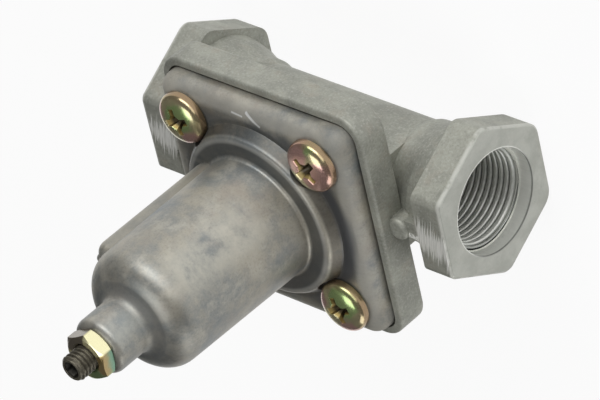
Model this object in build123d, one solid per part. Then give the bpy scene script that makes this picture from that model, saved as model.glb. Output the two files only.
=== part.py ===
from build123d import *
import math
import os

# In-line diaphragm bypass valve with a screwed spring bonnet, in millimetres.
# X runs along the two ports (+X is the outlet), Z up the bonnet axis, and the
# valve stands on the lower flats of its hexagon ends at Z = 0.

# Running and assembly clearances
running_clearance = 0.05
assembly_clearance = 0.3
end_clearance = 0.02
overlap = 1.0

# Hexagon ends and ports
hex_across_flats = 32.0
hex_length = 7.6
hex_crown_round = 2.0
hex_side_round = 3.0
hex_foot_round = 4.5
hex_face_chamfer = 0.5
port_to_port = 84.0
thread_radius = 11.0
thread_length = 13.2
counterbore_radius = 11.65
counterbore_depth = 3.5

# Cast body between the ports
gallery_radius = 9.0
gallery_wall = 2.7
block_half_length = 23.6
neck_shoulder_length = 1.6
neck_shoulder_wall = 1.4
neck_ridge_from_end = 12.2
neck_ridge_wall = 2.8
hex_root_wall = 3.8
partition_thickness = 3.0
partition_center = -6.0
rib_thickness = 4.4
rib_root_depth = 0.8
rib_boss_radius = 2.6
rib_boss_center = 1.6
rib_boss_lift = 1.2
rib_boss_round = 0.9

# Square flange of the body, and the recess that takes the bonnet
flange_side = 56.0
flange_corner = 6.0
flange_underside = 28.5
flange_height = 7.2
flange_edge_round = 0.7
rim_width = 1.8
recess_depth = 2.0

# Diaphragm and what clamps it
diaphragm_radius = 21.0
diaphragm_rim_thickness = 2.0
diaphragm_rim_width = 4.1
diaphragm_core_thickness = 1.6
diaphragm_web_thickness = 0.9
diaphragm_web_lift = 0.5
diaphragm_web_flat = 0.9
diaphragm_core_bevel = 0.5
groove_depth_in_body = 1.2
chamber_radius = 16.5
chamber_depth = 2.0

# Valve seat, its bore and the transfer hole beside it
seat_bore_radius = 4.0
seat_land = 1.0
seat_tower_wall = 2.2
transfer_radius = 3.0
transfer_center = -11.5

# Bonnet
bonnet_gap = 0.5
bonnet_flange_height = 6.6
bonnet_edge_round = 3.5
bonnet_corner_margin = 0.1
collar_base_radius = 20.8
collar_top_radius = 19.0
collar_height = 3.0
collar_edge_round = 1.2
cover_foot_radius = 14.4
cover_foot_round = 0.9
cover_end_radius = 14.0
cover_shoulder_height = 36.2
cover_dome_radius = 5.6
boss_radius = 6.5
boss_height = 10.3
boss_edge_round = 1.7
boss_foot_round = 2.6
spring_chamber_radius = 11.5
chamber_dome_round = 4.0
end_wall = 5.0
lower_chamber_height = 5.8
pad_face_distance = 15.0
pad_half_width = 9.8
pad_length = 32.5
pad_end_round = 3.2
pad_corner_round = 2.6
pad_notch_up = 6.0
pad_notch_length = 2.3
pad_notch_depth = 0.5
pad_stub_radius = 1.1
pad_stub_out = 1.6
pad_stub_across = 6.2
vent_radius = 0.9
vent_height = 12.0

# Cover screws
cover_screw_spacing = 36.2
cover_screw_radius = 3.0
cover_screw_clearance = 0.3
cover_screw_head_radius = 6.0
cover_screw_head_height = 3.8
cover_screw_point_gap = 0.3
cover_screw_head_edge = 0.9
cover_screw_head_bevel = 0.3
cover_screw_crown_out = 0.76
cover_screw_crown_up = 0.8
cover_screw_point_chamfer = 0.6
head_spot_gap = 0.5
cross_arm_length = 3.5
cross_arm_width = 1.3
cross_center_radius = 1.2
cross_depth = 2.3
cross_turns = [33.0, 19.0, 45.0, 18.0]

# Pressure plate, setting spring and upper spring seat
plate_radius = 11.0
plate_thickness = 2.5
plate_hollow_radius = 5.5
plate_hollow_depth = 2.9
plate_edge_chamfer = 0.4
spigot_height = 2.4
spigot_clearance = 0.4
spigot_chamfer = 0.5
spring_wire_radius = 1.2
spring_side_clearance = 0.8
spring_turns = 6.0
spring_length = 31.4
upper_seat_thickness = 2.5
upper_seat_clearance = 0.7
dimple_depth = 0.5

# Adjusting screw and lock nut
screw_radius = 3.0
screw_tip_radius = 2.0
screw_tip_length = 1.5
screw_above_nut = 4.3
screw_end_chamfer = 0.5
socket_across_flats = 3.0
socket_depth = 3.2
socket_mouth_width = 0.25
nut_across_flats = 10.0
nut_height = 3.2
nut_turn = 25.0
nut_countersink = 0.5
nut_chamfer_angle = 30.0
nut_face_inset = 0.15
nut_edge_drop = 0.1

# Return-flow check valve in the inlet gallery
check_port_radius = 3.2
check_disc_radius = 5.0
check_disc_thickness = 1.5
check_seal_thickness = 1.5
check_stem_radius = 1.4
check_stem_length = 9.6
check_stem_chamfer = 0.3
check_nose_radius = 1.5
check_nose_gap = 0.1
check_spigot_height = 1.0
check_lift = 2.5
check_bore_radius = 8.5
check_spring_radius = 3.4
check_spring_wire_radius = 0.35
check_spring_turns = 4.0
check_spring_open_length = 4.2
guide_thickness = 2.0
guide_ring_width = 1.5
guide_hub_wall = 2.65
guide_spoke_width = 1.8
guide_spokes = 3
ring_thickness = 1.0
ring_groove_depth = 0.6
ring_radial_width = 1.6
ring_gap_angle = 50.0

# Heights and places that follow from the sizes above
port_height = hex_across_flats / 2
half_length = port_to_port / 2
hex_inner_end = half_length - hex_length
block_half_width = gallery_radius + gallery_wall
thread_start = half_length - counterbore_depth
thread_end = thread_start - thread_length
rim_top = flange_underside + flange_height
recess_floor = rim_top - recess_depth
groove_floor = recess_floor - groove_depth_in_body
chamber_floor = groove_floor - chamber_depth
groove_roof = groove_floor + diaphragm_rim_thickness
core_top = groove_floor + diaphragm_core_thickness
bonnet_half = flange_side / 2 - rim_width - bonnet_gap
bonnet_corner = flange_corner - rim_width - bonnet_gap
bonnet_round = min(bonnet_edge_round, bonnet_corner - bonnet_corner_margin)
bonnet_top = recess_floor + bonnet_flange_height
collar_top = bonnet_top + collar_height
cover_shoulder = bonnet_top + cover_shoulder_height
dome_top = cover_shoulder + cover_dome_radius
boss_top = dome_top + boss_height
lower_chamber_top = recess_floor + lower_chamber_height
chamber_top = dome_top - end_wall
screw_offset = cover_screw_spacing / 2
cover_screw_sides = [(-1, -1), (1, -1), (1, 1), (-1, 1)]
cover_screw_spots = [(sx * screw_offset, sy * screw_offset) for sx, sy in cover_screw_sides]
plate_top = core_top + plate_thickness
spring_coil_radius = spring_chamber_radius - spring_side_clearance - spring_wire_radius
spigot_radius = spring_coil_radius - spring_wire_radius - spigot_clearance
upper_seat_bottom = plate_top + spring_length
upper_seat_top = upper_seat_bottom + upper_seat_thickness
screw_bottom = upper_seat_top - dimple_depth
nut_top = boss_top + nut_height
screw_top = nut_top + screw_above_nut
tapped_radius = screw_radius + running_clearance
partition_inlet_face = partition_center - partition_thickness / 2
partition_outlet_face = partition_center + partition_thickness / 2
check_disc_front = partition_inlet_face - check_seal_thickness
check_disc_back = check_disc_front - check_disc_thickness
check_spring_length = check_spring_open_length + check_lift
guide_face = check_disc_back - check_spring_length
ring_face = guide_face - guide_thickness


def turned(profile):
    """Solid turned about the bonnet axis from edges in (radius, height)."""
    return revolve(Plane.XZ * make_face(profile), Axis.Z)


def turned_along_port(profile):
    """Solid turned about the port axis from edges in (x, radius)."""
    return Pos(0, 0, port_height) * revolve(make_face(profile), Axis.X)


def across_port(x):
    """Plane square to the port axis at x, with its own axes along Y and Z."""
    return Plane(origin=(x, 0, port_height), x_dir=(0, 1, 0), z_dir=(1, 0, 0))


def port_cylinder(radius, start, end):
    """Cylinder on the port axis between two places along X."""
    return extrude(across_port(start) * Circle(radius), end - start)


def upright_cylinder(radius, bottom, top, x=0.0, y=0.0):
    """Cylinder along Z between two heights."""
    return extrude(Pos(x, y, bottom) * Circle(radius), top - bottom)


def at_cover_screws(solid):
    """The same solid at each of the four cover screws."""
    return [Pos(x, y, 0) * solid for x, y in cover_screw_spots]


def both_ends(solid):
    """A solid made for the +X end, and its twin at the -X end."""
    return solid + mirror(solid, about=Plane.YZ)


def hexagon_end():
    """Wrench hexagon with flats up and down, its long edges more rounded towards the foot."""
    outline = RegularPolygon(hex_across_flats / 2, 6, major_radius=False)
    block = extrude(across_port(hex_inner_end) * outline, hex_length)
    levels = block.edges().filter_by(Axis.X).group_by(Axis.Z)
    for level, size in enumerate([hex_foot_round, hex_side_round, hex_crown_round]):
        height = levels[level][0].center().Z
        edges = [edge for edge in block.edges().filter_by(Axis.X) if abs(edge.center().Z - height) < 0.01]
        block = fillet(edges, size)
    return chamfer(block.faces().sort_by(Axis.X)[-1].edges(), hex_face_chamfer)


def port_neck():
    """Neck that steps out of the gallery block and flares to the root of the hexagon."""
    shoulder = (block_half_length, thread_radius + neck_shoulder_wall)
    step = (block_half_length - neck_shoulder_length, block_half_width)
    ridge = (half_length - neck_ridge_from_end, thread_radius + neck_ridge_wall)
    root = (hex_inner_end, thread_radius + hex_root_wall)
    start = Polyline((0, 0), (0, block_half_width), step, shoulder)
    flare = TangentArc(shoulder, ridge, tangent=(1, 0))
    finish = Polyline(ridge, root, (hex_inner_end, 0), (0, 0))
    return turned_along_port(start + flare + finish)


def side_rib():
    """Rib from the square flange to the hexagon, with a round boss where it leaves the flange."""
    top = hex_across_flats
    start_x = flange_side / 2 - rib_root_depth
    end_x = hex_inner_end + hex_length / 2
    web = Pos((start_x + end_x) / 2, 0, (port_height + top) / 2)
    web *= Box(end_x - start_x, rib_thickness, top - port_height)
    boss_x = flange_side / 2 + rib_boss_center
    boss = upright_cylinder(rib_boss_radius, port_height, top + rib_boss_lift, x=boss_x)
    return web + fillet(boss.faces().sort_by(Axis.Z)[-1].edges(), rib_boss_round)


def gallery_block():
    """Block round the galleries, with a half-round underside."""
    round_part = Circle(block_half_width)
    height = flange_underside - port_height
    upper = Pos(0, height / 2) * Rectangle(2 * block_half_width, height)
    return extrude(across_port(0) * (round_part + upper), block_half_length, both=True)


def body_flange():
    """Square flange with rounded corners."""
    outline = RectangleRounded(flange_side, flange_side, flange_corner)
    plate = extrude(Pos(0, 0, flange_underside) * outline, flange_height)
    rims = plate.faces().sort_by(Axis.Z)
    return fillet(rims[0].edges() + rims[-1].edges(), flange_edge_round)


def port_openings():
    """Counterbore, threaded wall and mouth chamfer of the outlet end."""
    thread_wall = port_cylinder(thread_radius, thread_end, half_length)
    counterbore = port_cylinder(counterbore_radius, thread_start, half_length + overlap)
    run_out = thread_radius - gallery_radius
    points = [
        (thread_end - run_out, 0),
        (thread_end - run_out, gallery_radius),
        (thread_end, thread_radius),
        (thread_end, 0),
    ]
    return thread_wall + counterbore + turned_along_port(Polyline(*points, close=True))


def inner_passages():
    """Galleries, seat bore, transfer hole and the chamber under the diaphragm."""
    outlet = port_cylinder(gallery_radius, partition_outlet_face, thread_end)
    inlet = port_cylinder(check_bore_radius, guide_face, partition_inlet_face)
    inlet += port_cylinder(gallery_radius, -thread_end, guide_face)
    check_port = port_cylinder(check_port_radius, partition_inlet_face, partition_outlet_face)
    ring_groove = port_cylinder(gallery_radius + ring_groove_depth, ring_face - ring_thickness, ring_face)
    seat_bore = upright_cylinder(seat_bore_radius, port_height, groove_floor)
    transfer = upright_cylinder(transfer_radius, port_height, groove_floor, x=transfer_center)
    return outlet + inlet + check_port + ring_groove + seat_bore + transfer


def diaphragm_chamber():
    """Pressure chamber round the seat tower, the clamping groove and the bonnet recess."""
    recess_side = flange_side - 2 * rim_width
    recess_corner = flange_corner - rim_width
    outline = RectangleRounded(recess_side, recess_side, recess_corner)
    recess = extrude(Pos(0, 0, recess_floor) * outline, recess_depth)
    groove = upright_cylinder(diaphragm_radius + assembly_clearance, groove_floor, recess_floor)
    chamber = upright_cylinder(chamber_radius, chamber_floor, groove_floor)
    tower_radius = seat_bore_radius + seat_tower_wall
    tower = upright_cylinder(tower_radius, chamber_floor, groove_floor)
    tower = chamfer(tower.faces().sort_by(Axis.Z)[-1].edges(), seat_tower_wall - seat_land)
    return recess + groove + (chamber - tower)


def valve_body():
    """Die-cast body with both ports, the galleries and the square flange."""
    casting = gallery_block() + both_ends(port_neck() + hexagon_end() + side_rib()) + body_flange()
    casting -= both_ends(port_openings())
    casting -= inner_passages() + diaphragm_chamber()
    tapped = upright_cylinder(cover_screw_radius + running_clearance, flange_underside, rim_top)
    return casting - at_cover_screws(tapped)


def on_circle(radius):
    """Picks the round edges of one radius."""
    return lambda edge: abs(edge.radius - radius) < 0.01


def bonnet_outline():
    """Turned outer form of the spring housing, from the collar to the screw boss."""
    base = bonnet_top - overlap
    foot = (cover_foot_radius, collar_top)
    shoulder = (cover_end_radius, cover_shoulder)
    dome_end = (cover_end_radius - cover_dome_radius, dome_top)
    collar_top_edge = (collar_top_radius, collar_top)
    collar_foot = (collar_base_radius, bonnet_top)
    collar = Polyline((0, base), (collar_base_radius, base), collar_foot, collar_top_edge, foot)
    dome = TangentArc(shoulder, dome_end, tangent=(0, 1))
    boss_end = (boss_radius, boss_top)
    boss = Polyline(dome_end, (boss_radius, dome_top), boss_end, (0, boss_top), (0, base))
    cover = turned(collar + Line(foot, shoulder) + dome + boss)
    rounds = [
        (collar_top_radius, collar_top, collar_edge_round),
        (cover_foot_radius, collar_top, cover_foot_round),
        (boss_radius, dome_top, boss_foot_round),
        (boss_radius, boss_top, boss_edge_round),
    ]
    for radius, height, size in rounds:
        edges = cover.edges().filter_by(GeomType.CIRCLE).filter_by(on_circle(radius))
        cover = fillet(edges.sort_by_distance((0, 0, height))[:1], size)
    return cover


def bonnet_pad():
    """Flat raised pad on the inlet side of the spring housing, with a notch and a gate stub."""
    end = collar_top + pad_length
    outline = Rectangle(pad_face_distance, 2 * pad_half_width)
    block = extrude(Pos(-pad_face_distance / 2, 0, bonnet_top) * outline, collar_height + pad_length)
    block = fillet(block.edges().filter_by(Axis.X).sort_by(Axis.Z)[-2:], pad_corner_round)
    outer = block.faces().sort_by(Axis.X)[0]
    block = fillet(outer.edges().filter_by(Axis.Y).sort_by(Axis.Z)[-1:], pad_end_round)
    notch = Box(2 * pad_notch_depth, 2 * pad_notch_depth, pad_notch_length)
    block -= Pos(-pad_face_distance, pad_half_width, collar_top + pad_notch_up) * notch
    stub = Sphere(pad_stub_radius)
    return block + Pos(pad_stub_out - pad_face_distance, pad_stub_across, end - pad_stub_radius) * stub


def spring_chamber():
    """Hollow inside the bonnet, with the diaphragm groove at its mouth."""
    groove = upright_cylinder(diaphragm_radius + assembly_clearance, recess_floor, groove_roof)
    lower = upright_cylinder(chamber_radius, groove_roof, lower_chamber_top)
    upper = upright_cylinder(spring_chamber_radius, lower_chamber_top, chamber_top)
    upper = fillet(upper.faces().sort_by(Axis.Z)[-1].edges(), chamber_dome_round)
    tapped = upright_cylinder(tapped_radius, chamber_top - overlap, boss_top)
    vent = extrude(Plane.YZ * Circle(vent_radius), -pad_face_distance)
    vent = Pos(0, 0, collar_top + vent_height) * vent
    return groove + lower + upper + tapped + vent


def bonnet():
    """Die-cast spring housing with its square flange."""
    outline = RectangleRounded(2 * bonnet_half, 2 * bonnet_half, bonnet_corner)
    plate = extrude(Pos(0, 0, recess_floor) * outline, bonnet_flange_height)
    plate = fillet(plate.faces().sort_by(Axis.Z)[-1].edges(), bonnet_round)
    cover = plate + bonnet_outline() + bonnet_pad()
    spot_radius = cover_screw_head_radius + head_spot_gap
    spot_face = upright_cylinder(spot_radius, bonnet_top, collar_top + overlap)
    hole_radius = cover_screw_radius + cover_screw_clearance
    hole = upright_cylinder(hole_radius, recess_floor, bonnet_top)
    return cover - spring_chamber() - at_cover_screws(spot_face + hole)


def diaphragm():
    """Rubber diaphragm with a clamped rim, one convolution and a flat core."""
    core_edge = plate_radius - diaphragm_core_bevel
    inner = plate_radius + assembly_clearance
    outer = chamber_radius
    rim_inner = diaphragm_radius - diaphragm_rim_width
    web_low = groove_floor + diaphragm_web_lift
    web_high = web_low + diaphragm_web_thickness
    middle = (inner + outer) / 2
    rise = (outer - inner) / 2 - diaphragm_web_thickness
    low_start = (inner + diaphragm_web_flat, web_low)
    low_end = (outer - diaphragm_web_flat, web_low)
    low = Polyline((0, groove_floor), (core_edge, groove_floor), (inner, web_low), low_start)
    low_arc = ThreePointArc(low_start, (middle, web_low + rise), low_end)
    rim_foot = Polyline(low_end, (rim_inner, web_low), (rim_inner, groove_floor))
    rim = Polyline((rim_inner, groove_floor), (diaphragm_radius, groove_floor),
                   (diaphragm_radius, groove_roof), (rim_inner, groove_roof))
    rim_top = Polyline((rim_inner, groove_roof), (rim_inner, web_high), (outer, web_high))
    high_arc = ThreePointArc((outer, web_high), (middle, web_high + rise), (inner, web_high))
    core = Polyline((inner, web_high), (core_edge, core_top), (0, core_top), (0, groove_floor))
    return turned(low + low_arc + rim_foot + rim + rim_top + high_arc + core)


def pressure_plate():
    """Plate that the setting spring presses on the diaphragm, hollowed inside its spigot."""
    spigot_top = plate_top + spigot_height
    disc = upright_cylinder(plate_radius, core_top, plate_top)
    disc = chamfer(disc.edges().filter_by(GeomType.CIRCLE), plate_edge_chamfer)
    spigot = upright_cylinder(spigot_radius, plate_top - overlap, spigot_top)
    spigot = chamfer(spigot.faces().sort_by(Axis.Z)[-1].edges(), spigot_chamfer)
    hollow = upright_cylinder(plate_hollow_radius, spigot_top - plate_hollow_depth, spigot_top)
    return disc + spigot - hollow


def coil(radius, wire_radius, length, turns):
    """Compression spring standing on Z = 0, with its end turns ground flat."""
    path = Helix(length / turns, length, radius)
    section = Plane(path @ 0, z_dir=path % 0) * Circle(wire_radius)
    wire = sweep(section, path=path, is_frenet=True)
    reach = radius + 2 * wire_radius
    return wire & upright_cylinder(reach, 0, length)


def setting_spring():
    """Spring between the pressure plate and the upper seat."""
    length = spring_length - 2 * end_clearance
    wound = coil(spring_coil_radius, spring_wire_radius, length, spring_turns)
    return Pos(0, 0, plate_top + end_clearance) * wound


def upper_spring_seat():
    """Turned seat that the adjusting screw presses on, with a spigot inside the spring."""
    disc_radius = spring_chamber_radius - upper_seat_clearance
    disc = upright_cylinder(disc_radius, upper_seat_bottom, upper_seat_top)
    disc = chamfer(disc.faces().sort_by(Axis.Z)[-1].edges(), spigot_chamfer)
    spigot = upright_cylinder(spigot_radius, upper_seat_bottom - spigot_height, upper_seat_bottom + overlap)
    spigot = chamfer(spigot.faces().sort_by(Axis.Z)[0].edges(), spigot_chamfer)
    dimple = upright_cylinder(screw_tip_radius + assembly_clearance, screw_bottom, upper_seat_top)
    return disc + spigot - dimple


def adjusting_screw():
    """Socket set screw that sets the spring load."""
    shank_bottom = screw_bottom + screw_tip_length
    shank = upright_cylinder(screw_radius, shank_bottom, screw_top)
    shank = chamfer(shank.edges().filter_by(GeomType.CIRCLE), screw_end_chamfer)
    tip = upright_cylinder(screw_tip_radius, screw_bottom, shank_bottom + overlap)
    socket = RegularPolygon(socket_across_flats / 2, 6, major_radius=False)
    socket = extrude(Pos(0, 0, screw_top - socket_depth) * socket, socket_depth)
    reach = socket_across_flats / math.sqrt(3) + socket_mouth_width
    mouth = Polyline((0, screw_top), (reach, screw_top), (0, screw_top - reach), close=True)
    return shank + tip - socket - turned(mouth)


def lock_nut():
    """Hexagon jam nut with chamfered corners and a countersunk thread mouth."""
    half = nut_across_flats / 2
    outline = Rot(0, 0, nut_turn) * RegularPolygon(half, 6, major_radius=False)
    block = extrude(Pos(0, 0, boss_top) * outline, nut_height)
    corner = nut_across_flats / math.sqrt(3)
    drop = (corner - half) * math.tan(math.radians(nut_chamfer_angle)) + nut_edge_drop
    face = half - nut_face_inset
    lower = Polyline((0, boss_top), (face, boss_top), (corner, boss_top + drop))
    upper = Polyline((corner, nut_top - drop), (face, nut_top), (0, nut_top), (0, boss_top))
    block = block & turned(lower + Line((corner, boss_top + drop), (corner, nut_top - drop)) + upper)
    bore = upright_cylinder(tapped_radius, boss_top, nut_top)
    mouth = tapped_radius + nut_countersink
    sink = Polyline((0, nut_top), (mouth, nut_top), (0, nut_top - mouth), close=True)
    return block - bore - turned(sink)


def cross_recess():
    """Tapered cross recess below the top of a screw head standing on Z = 0."""
    floor = cover_screw_head_height - cross_depth
    top = cover_screw_head_height + overlap
    half_width = cross_arm_width / 2
    rise = (top - floor) / cross_depth
    reach = half_width + (cross_arm_length - half_width) * rise
    outline = Polyline((-reach, top), (reach, top), (half_width, floor), (-half_width, floor), close=True)
    arm = extrude(Plane.XZ * make_face(outline), half_width, both=True)
    center = Polyline((0, floor), (cross_center_radius * rise, top), (0, top), close=True)
    return arm + Rot(0, 0, 90) * arm + turned(center)


def cover_screw():
    """Pan head screw with its head standing on Z = 0."""
    rim = (cover_screw_head_radius, cover_screw_head_edge)
    top = (0, cover_screw_head_height)
    crown_out = cover_screw_head_radius * cover_screw_crown_out
    crown_up = cover_screw_head_height * cover_screw_crown_up
    low = Polyline((0, 0), (cover_screw_head_radius - cover_screw_head_bevel, 0), rim)
    crown = ThreePointArc(rim, (crown_out, crown_up), top)
    head = turned(low + crown + Line(top, (0, 0))) - cross_recess()
    point = flange_underside + cover_screw_point_gap - bonnet_top
    shank = upright_cylinder(cover_screw_radius, point, 0)
    shank = chamfer(shank.faces().sort_by(Axis.Z)[0].edges(), cover_screw_point_chamfer)
    return head + shank


def cover_screws():
    """Four pan head screws that hold the bonnet down, each stopped at its own angle."""
    screw = cover_screw()
    places = zip(cover_screw_spots, cross_turns)
    seated = [Pos(x, y, bonnet_top) * Rot(0, 0, turn) * screw for (x, y), turn in places]
    return Compound(children=seated)


def along_inlet(solid, x):
    """Stands a solid made along +Z on the port axis at x, pointing out of the inlet."""
    return Pos(x, 0, port_height) * Rot(0, -90, 0) * solid


def check_valve_seal():
    """Rubber face of the check valve, on the inlet side of the partition."""
    hole = check_nose_radius + end_clearance
    ring = extrude(Circle(check_disc_radius) - Circle(hole), check_seal_thickness)
    return along_inlet(ring, partition_inlet_face)


def check_valve_disc():
    """Check valve disc with a nose for the seal, a spring spigot and a guide stem."""
    nose = upright_cylinder(check_nose_radius, check_nose_gap - check_seal_thickness, 0)
    disc = upright_cylinder(check_disc_radius, 0, check_disc_thickness)
    inside_spring = check_spring_radius - check_spring_wire_radius - spigot_clearance
    spigot = upright_cylinder(inside_spring, 0, check_disc_thickness + check_spigot_height)
    stem = upright_cylinder(check_stem_radius, 0, check_disc_thickness + check_stem_length)
    stem = chamfer(stem.faces().sort_by(Axis.Z)[-1].edges(), check_stem_chamfer)
    return along_inlet(nose + disc + spigot + stem, check_disc_front)


def check_valve_spring():
    """Light spring that closes the check valve."""
    length = check_spring_length - 2 * end_clearance
    wound = coil(check_spring_radius, check_spring_wire_radius, length, check_spring_turns)
    return along_inlet(wound, check_disc_back - end_clearance)


def check_valve_guide():
    """Spoked guide that carries the stem and backs the spring."""
    outer = gallery_radius - running_clearance
    middle = outer - guide_ring_width / 2
    ring = extrude(Circle(outer) - Circle(outer - guide_ring_width), guide_thickness)
    spoke = extrude(Pos(middle / 2, 0) * Rectangle(middle, guide_spoke_width), guide_thickness)
    bore_radius = check_stem_radius + running_clearance
    guide = ring + upright_cylinder(bore_radius + guide_hub_wall, 0, guide_thickness)
    for number in range(guide_spokes):
        guide += Rot(0, 0, 360 / guide_spokes * number) * spoke
    return along_inlet(guide - upright_cylinder(bore_radius, 0, guide_thickness), guide_face)


def retaining_ring():
    """Open ring in its groove, which holds the check valve guide."""
    outer = gallery_radius + ring_groove_depth - running_clearance
    inner = outer - ring_radial_width
    half = math.radians(ring_gap_angle / 2)
    reach_x = (outer + overlap) / math.cos(half)
    reach_y = reach_x * math.tan(half)
    gap = make_face(Polyline((0, 0), (reach_x, reach_y), (reach_x, -reach_y), close=True))
    ring = extrude(Circle(outer) - Circle(inner) - gap, ring_thickness - end_clearance)
    return along_inlet(ring, ring_face)


pieces = {
    "valve_body": valve_body,
    "bonnet": bonnet,
    "cover_screws": cover_screws,
    "diaphragm": diaphragm,
    "pressure_plate": pressure_plate,
    "setting_spring": setting_spring,
    "upper_spring_seat": upper_spring_seat,
    "adjusting_screw": adjusting_screw,
    "lock_nut": lock_nut,
    "check_valve_seal": check_valve_seal,
    "check_valve_disc": check_valve_disc,
    "check_valve_spring": check_valve_spring,
    "check_valve_guide": check_valve_guide,
    "retaining_ring": retaining_ring,
}

os.makedirs("parts", exist_ok=True)
for name, make in pieces.items():
    export_step(make(), "parts/" + name + ".step")
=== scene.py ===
import math

import bmesh
import bpy
from mathutils import Matrix, Vector


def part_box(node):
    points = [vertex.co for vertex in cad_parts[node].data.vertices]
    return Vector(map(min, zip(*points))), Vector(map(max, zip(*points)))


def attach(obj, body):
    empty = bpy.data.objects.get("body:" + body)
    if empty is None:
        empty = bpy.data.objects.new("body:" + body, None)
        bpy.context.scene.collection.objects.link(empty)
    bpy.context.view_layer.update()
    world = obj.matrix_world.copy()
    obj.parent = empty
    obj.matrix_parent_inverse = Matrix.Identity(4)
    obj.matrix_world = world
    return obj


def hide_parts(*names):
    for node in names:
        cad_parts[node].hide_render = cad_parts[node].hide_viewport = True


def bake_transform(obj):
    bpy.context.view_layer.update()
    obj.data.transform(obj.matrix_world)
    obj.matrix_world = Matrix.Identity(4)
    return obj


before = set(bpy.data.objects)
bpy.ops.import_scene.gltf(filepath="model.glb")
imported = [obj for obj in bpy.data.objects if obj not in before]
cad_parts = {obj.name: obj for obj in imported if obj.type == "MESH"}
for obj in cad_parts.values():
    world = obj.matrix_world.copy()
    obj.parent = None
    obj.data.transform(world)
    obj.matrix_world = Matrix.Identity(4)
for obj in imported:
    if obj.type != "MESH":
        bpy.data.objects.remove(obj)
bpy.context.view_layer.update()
millimetre = 0.001


# A shader socket that maths can be written on
class Shade:
    def __init__(self, maker, socket):
        self.maker = maker
        self.socket = socket

    def maths(self, operation, *others):
        return self.maker.maths(operation, self, *others)

    def __add__(self, other):
        return self.maths("ADD", other)

    def __sub__(self, other):
        return self.maths("SUBTRACT", other)

    def __mul__(self, other):
        return self.maths("MULTIPLY", other)

    def __truediv__(self, other):
        return self.maths("DIVIDE", other)

    def __pow__(self, other):
        return self.maths("POWER", other)

    def __radd__(self, other):
        return self.maker.maths("ADD", other, self)

    def __rsub__(self, other):
        return self.maker.maths("SUBTRACT", other, self)

    def __rmul__(self, other):
        return self.maker.maths("MULTIPLY", other, self)

    def __abs__(self):
        return self.maths("ABSOLUTE")

    def capped(self):
        return self.maths("MINIMUM", 1.0)

    # 0 below low, 1 above high, smooth between
    def rise(self, low, high):
        return self.maker.node("ShaderNodeMapRange", {"interpolation_type": "SMOOTHSTEP"},
                               {"Value": self, "From Min": low, "From Max": high})

    # 1 between low and high, with soft edges
    def within(self, low, high, edge):
        return self.rise(low - edge, low + edge) * (1 - self.rise(high - edge, high + edge))


# Makes the nodes of one material, world or floor
class Maker:
    def __init__(self, tree):
        self.tree = tree
        self.tree.nodes.clear()

    def node(self, kind, settings=None, values=None, output=0):
        made = self.tree.nodes.new(kind)
        for key, value in (settings or {}).items():
            setattr(made, key, value)
        for key, value in (values or {}).items():
            socket = made.inputs[key]
            if isinstance(value, Shade):
                self.tree.links.new(value.socket, socket)
            elif isinstance(value, tuple) and socket.type == "RGBA":
                socket.default_value = (*value, 1)
            else:
                socket.default_value = value
        return Shade(self, made.outputs[output]) if made.outputs else made

    def maths(self, operation, *values):
        return self.node("ShaderNodeMath", {"operation": operation}, dict(enumerate(values)))

    # Object coordinates in millimetres, moved and stretched as a pattern needs
    def place(self, shift=(0, 0, 0), stretch=(1, 1, 1)):
        raw = self.node("ShaderNodeTexCoord", output=3)
        scale = tuple(s / millimetre for s in stretch)
        return self.node("ShaderNodeMapping", None, {"Vector": raw, "Location": shift, "Scale": scale})

    def axes(self):
        at = self.place()
        return [self.node("ShaderNodeSeparateXYZ", None, {0: at}, output) for output in range(3)]

    # Cloudy pattern from 0 to 1 whose lumps are about size millimetres
    def cloud(self, size, detail=3.0, roughness=0.55, shift=(0, 0, 0), stretch=(1, 1, 1), distort=0.0):
        at = self.place(shift, tuple(s / size for s in stretch))
        return self.node("ShaderNodeTexNoise", None,
                         {"Vector": at, "Scale": 1.0, "Detail": detail, "Roughness": roughness,
                          "Distortion": distort})

    # 1 near the straight line from start to end, seen along Z
    def stroke(self, x, y, start, end, width):
        length = math.dist(start, end)
        alongX = (end[0] - start[0]) / length
        alongY = (end[1] - start[1]) / length
        along = (x - start[0]) * alongX + (y - start[1]) * alongY
        aside = (y - start[1]) * alongX - (x - start[0]) * alongY
        past = (abs(along - length / 2) - length / 2).maths("MAXIMUM", 0.0)
        return 1 - distance(aside, past).rise(width * 0.3, width)

    def mix(self, mask, first, second, way="MIX"):
        return self.node("ShaderNodeMix", {"data_type": "RGBA", "blend_type": way},
                         {0: mask, 6: first, 7: second}, 2)

    def relief(self, height, depth, strength):
        return self.node("ShaderNodeBump", None,
                         {"Height": height, "Distance": depth * millimetre, "Strength": strength})

    def surface(self, **sockets):
        names = {"colour": "Base Color", "metallic": "Metallic", "roughness": "Roughness",
                 "normal": "Normal", "coat": "Coat Weight", "coatRoughness": "Coat Roughness"}
        body = self.node("ShaderNodeBsdfPrincipled", None, {names[k]: v for k, v in sockets.items()})
        self.node("ShaderNodeOutputMaterial", None, {"Surface": body})


def distance(first, second):
    return (first * first + second * second) ** 0.5


def newFinish(name):
    material = bpy.data.materials.new(name)
    material.use_nodes = True
    return material, Maker(material.node_tree)


# Matte die-cast aluminium of the body, with machined port faces and filed hexagon flats
castBody = dict(
    light=(0.39, 0.395, 0.345), dark=(0.27, 0.275, 0.24), warm=(0.37, 0.345, 0.29),
    speckLight=(0.6, 0.605, 0.56), speckDark=(0.13, 0.135, 0.12),
    machined=(0.52, 0.53, 0.485), boredAndLit=(0.8, 0.81, 0.76), brightMetal=(1.0, 1.0, 0.96),
    cloudSize=7.0, stainSize=4.5, blotchSize=3.2, waverSize=3.0, poreSize=0.8, streakSize=0.7,
    speckSize=0.55, grainSize=0.35, grainDepth=0.035, metallic=0.55, roughness=0.58,
)
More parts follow.
